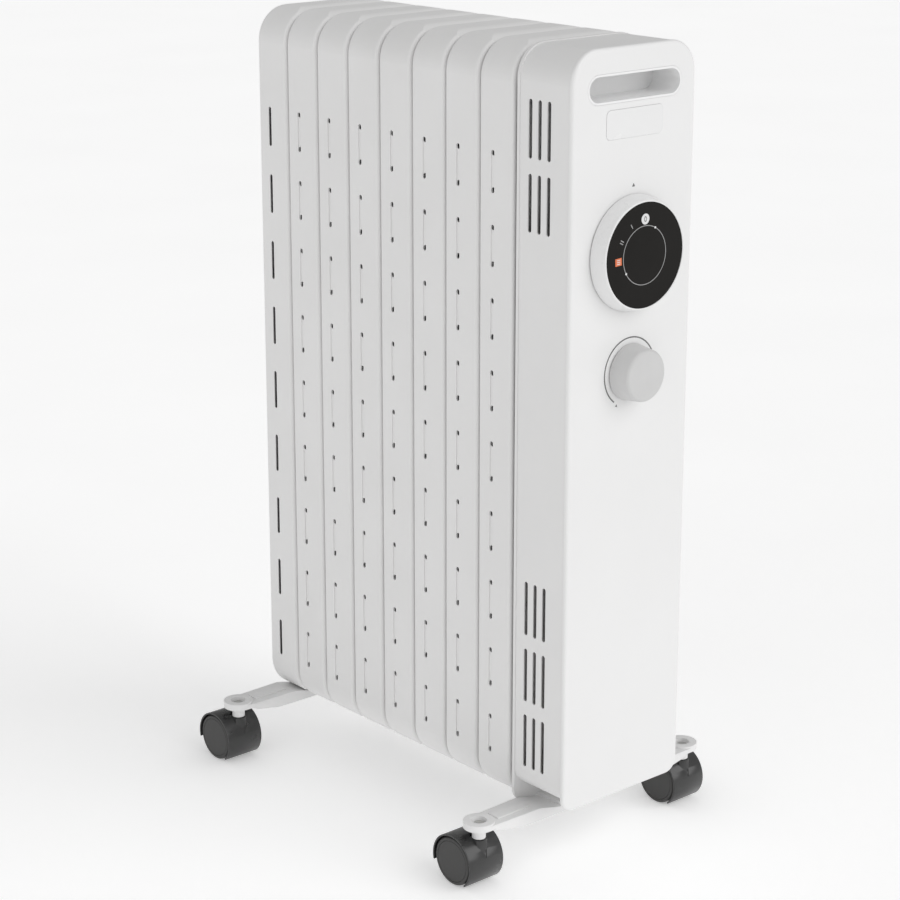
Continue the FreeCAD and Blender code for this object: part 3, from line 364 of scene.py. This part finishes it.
# %% Wheels
def wheel(name, node, body, side):
    """side is -1 where the wheel's outer face looks to -X and 1 where it looks to +X."""
    low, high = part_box(node)
    radius = (high.z - low.z) / 2
    width = high.x - low.x
    inner_x = low.x if side > 0 else high.x
    centre = Vector((inner_x, (low.y + high.y) / 2, (low.z + high.z) / 2))
    bore = 2.56 * MM
    bore_depth = 8.2 * MM
    hub = radius * 0.33
    pocket = 1.4 * MM
    rim = radius * 0.84
    shoulder = 1.0 * MM
    section = [
        (bore_depth, 0), (bore_depth, bore), (0, bore), (0, hub), (pocket, hub + 0.4 * MM),
        (pocket, rim - 0.4 * MM), (0.1 * MM, rim), (0.1 * MM, radius - shoulder),
        (0.3 * shoulder, radius - 0.3 * shoulder), (shoulder, radius),
        (width - 2.2 * shoulder, radius), (width - shoulder, radius - 0.35 * shoulder),
        (width - 0.35 * shoulder, radius - shoulder), (width - 0.12 * MM, radius - 2 * shoulder),
        (width - 0.12 * MM, rim + 0.3 * MM), (width - 0.5 * MM, rim),
        (width - 0.16 * MM, rim - 0.4 * MM), (width - 0.05 * MM, radius * 0.45), (width, 0),
    ]
    work = bmesh.new()
    points = [work.verts.new(centre + Vector((side * x, r, 0))) for x, r in section]
    line = [work.edges.new(pair) for pair in zip(points, points[1:])]
    bmesh.ops.spin(work, geom=points + line, cent=centre, axis=(1, 0, 0), angle=math.tau,
                   steps=64, use_merge=True)
    bmesh.ops.remove_doubles(work, verts=work.verts, dist=0.005 * MM)
    bmesh.ops.recalc_face_normals(work, faces=work.faces)
    piece = finished_piece(name, work, wheel_black, body, 30.0)
    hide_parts(node)
    return piece


for corner in corners:
    for letter, side in (("a", -1), ("b", 1)):
        piece = wheel("wheel_" + corner + "_" + letter, "caster_wheel_" + corner + "_" + letter,
                      "wheel_" + corner + "_" + letter, side)
print(piece.name, len(piece.data.polygons), "faces")

# %% [markdown]
# ## Printed marks
#
# The dial's steps, its ring and the marks on the panel are pad printed.  Print is a film
# with an edge, so each mark is a very thin piece of its own, lifted a tenth of a
# millimetre off the face below it.  That keeps it crisp at any distance, which a texture
# would not be.  The steps are plain numerals: 0, I, II and III.

# %% Ink
ink_white = finish("ink_white", (grey(0.72), grey(0.78)), (0.40, 0.50), 200, 2600, 0.000004)
ink_grey = finish("ink_grey", (grey(0.13), grey(0.17)), (0.45, 0.55), 200, 2600, 0.000004)
ink_silver = finish("ink_silver", (grey(0.30), grey(0.36)), (0.35, 0.45), 200, 2600, 0.000004)
ink_orange = finish("ink_orange", ((0.72, 0.16, 0.05), (0.80, 0.20, 0.07)), (0.40, 0.50),
                    200, 2600, 0.000004)
FILM = 0.10 * MM
print("ink film", FILM, "m")


# %% Marks that stand on a face
def flat_place(x, y, z, turn=0.0):
    """A place on a face that looks to -Y: local X stays across, local Y goes up."""
    return Matrix.Translation((x, y, z)) @ Matrix.Rotation(turn, 4, "Y") @ Matrix.Rotation(
        math.radians(90), 4, "X")


def add_disc(work, place, radius, sides=40):
    bmesh.ops.create_cone(work, cap_ends=True, cap_tris=False, segments=sides, radius1=radius,
                          radius2=radius, depth=FILM, matrix=place)


def add_bar(work, place, width, height):
    bmesh.ops.create_cube(work, size=1.0, matrix=place @ Matrix.Diagonal((width, height, FILM, 1)))


def add_band(work, x, y, z, radius, width, start, sweep, steps):
    """Part of a flat ring on a face that looks to -Y, spun from one small rectangle."""
    centre = Vector((x, y, z))
    across = Vector((math.cos(start), 0, math.sin(start)))
    corners_of_section = []
    for reach, lift in ((-0.5, -0.5), (0.5, -0.5), (0.5, 0.5), (-0.5, 0.5)):
        spot = centre + across * (radius + reach * width) + Vector((0, lift * FILM, 0))
        corners_of_section.append(work.verts.new(spot))
    section = work.faces.new(corners_of_section)
    full = abs(sweep) == math.tau
    bmesh.ops.spin(work, geom=[section], cent=centre, axis=(0, -1, 0), angle=sweep, steps=steps,
                   use_merge=full)
    if full:
        bmesh.ops.delete(work, geom=[section], context="FACES_ONLY")


def printed(name, work, material, body):
    bmesh.ops.remove_doubles(work, verts=work.verts, dist=0.002 * MM)
    bmesh.ops.recalc_face_normals(work, faces=work.faces)
    return finished_piece(name, work, material, body, 30.0)


# %% Marks on the dial
face_low, face_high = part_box("selector_face")
dial_x = (face_low.x + face_high.x) / 2
dial_z = (face_low.z + face_high.z) / 2
dial_radius = (face_high.x - face_low.x) / 2
dial_y = face_low.y - FILM / 2
step_radius = dial_radius * 0.68
ring_radius = dial_radius * 0.555
zero_at, one_at, two_at, three_at = 90, 121, 152, 183
ring_dots_at = (62, 211)
stroke_width = 0.7 * MM
stroke_height = 3.4 * MM


def on_dial(angle, radius, lift=0.0):
    """A place on the dial, upright once that angle has been turned to the top."""
    a = math.radians(angle)
    return flat_place(dial_x + radius * math.cos(a), dial_y - lift, dial_z + radius * math.sin(a),
                      math.radians(90 - angle))


work = bmesh.new()
add_band(work, dial_x, dial_y, dial_z, ring_radius, 0.55 * MM, 0, math.tau, 96)
printed("dial_ring", work, ink_silver, "selector_dial")

work = bmesh.new()
add_disc(work, on_dial(zero_at, step_radius), 3.9 * MM)
for angle in ring_dots_at:
    add_disc(work, on_dial(angle, ring_radius, FILM), 0.85 * MM, 20)
printed("dial_marks_white", work, ink_white, "selector_dial")

work = bmesh.new()
add_bar(work, on_dial(one_at, step_radius), stroke_width, stroke_height)
for dx in (-0.9 * MM, 0.9 * MM):
    add_bar(work, on_dial(two_at, step_radius) @ Matrix.Translation((dx, 0, 0)),
            stroke_width, stroke_height)
printed("dial_steps_one_two", work, ink_silver, "selector_dial")

work = bmesh.new()
add_bar(work, on_dial(three_at, step_radius), 5.4 * MM, 6.2 * MM)
printed("dial_step_square", work, ink_orange, "selector_dial")

work = bmesh.new()
for dx in (-1.4 * MM, 0, 1.4 * MM):
    add_bar(work, on_dial(three_at, step_radius, FILM) @ Matrix.Translation((dx, 0, 0)),
            0.5 * MM, 3.2 * MM)
printed("dial_step_three", work, ink_white, "selector_dial")

work = bmesh.new()
zero = on_dial(zero_at, step_radius, FILM)
spot = zero.translation
add_band(work, spot.x, spot.y, spot.z, 1.45 * MM, 0.6 * MM, 0, math.tau, 32)
bmesh.ops.scale(work, vec=(0.72, 1, 1.15), verts=work.verts,
                space=Matrix.Translation(-spot))
printed("dial_step_zero", work, ink_grey, "selector_dial")
print("dial radius", round(dial_radius / MM, 1), "steps at", round(step_radius / MM, 1))

# %% Marks on the panel
panel_low, panel_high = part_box("front_panel")
panel_y = panel_low.y - FILM / 2
knob_low, knob_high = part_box("thermostat_knob")
knob_z = (knob_low.z + knob_high.z) / 2
rim_low, rim_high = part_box("selector_knob")
arrow_above_rim = 6.0 * MM
end_arrow_across = 13 * MM
end_arrow_below = 23.5 * MM
end_arrow_turn = math.radians(20)
arc_radius = 25.4 * MM
arc_width = 1.0 * MM
arc_start = math.radians(233)
arc_sweep = math.radians(286)


def add_arrow(work, x, z, size, turn=0.0):
    """A small triangle that points up before it is turned."""
    bmesh.ops.create_cone(work, cap_ends=True, cap_tris=False, segments=3, radius1=size,
                          radius2=size, depth=FILM, matrix=flat_place(x, panel_y, z, turn))


work = bmesh.new()
add_arrow(work, 0.0, rim_high.z + arrow_above_rim, 1.7 * MM)
for side in (-1, 1):
    add_arrow(work, side * end_arrow_across, knob_z - end_arrow_below, 1.2 * MM,
              -side * end_arrow_turn)
add_band(work, 0.0, panel_y, knob_z, arc_radius, arc_width, arc_start, -arc_sweep, 80)
printed("panel_marks", work, ink_grey, "root")
print("panel marks stand", round((panel_low.y - panel_y) / MM, 3), "mm off the panel")

# %% [markdown]
# ## Floor
#
# A plain pale sheet, large enough that its edge stays out of the product shot.  A view
# from lower down shows it as a horizon.  The sheet gives off a little light of its own, as
# a light table does, so that white paint stands out against it.

# %% Floor
work = bmesh.new()
bmesh.ops.create_grid(work, x_segments=2, y_segments=2, size=20.0)
mesh = bpy.data.meshes.new("pale_floor")
work.to_mesh(mesh)
work.free()
floor = bpy.data.objects.new("pale_floor", mesh)
scene.collection.objects.link(floor)
floor_paper = finish("floor_paper", (grey(0.93), grey(0.95)), (0.85, 0.92), 3, 400, 0.00002)
floor_shader = floor_paper.node_tree.nodes["Principled BSDF"]
floor_shader.inputs["Emission Color"].default_value = (1, 1, 1, 1)
floor_shader.inputs["Emission Strength"].default_value = 0.30
dress(floor, floor_paper)
print("floor", floor.dimensions.x, "m across")
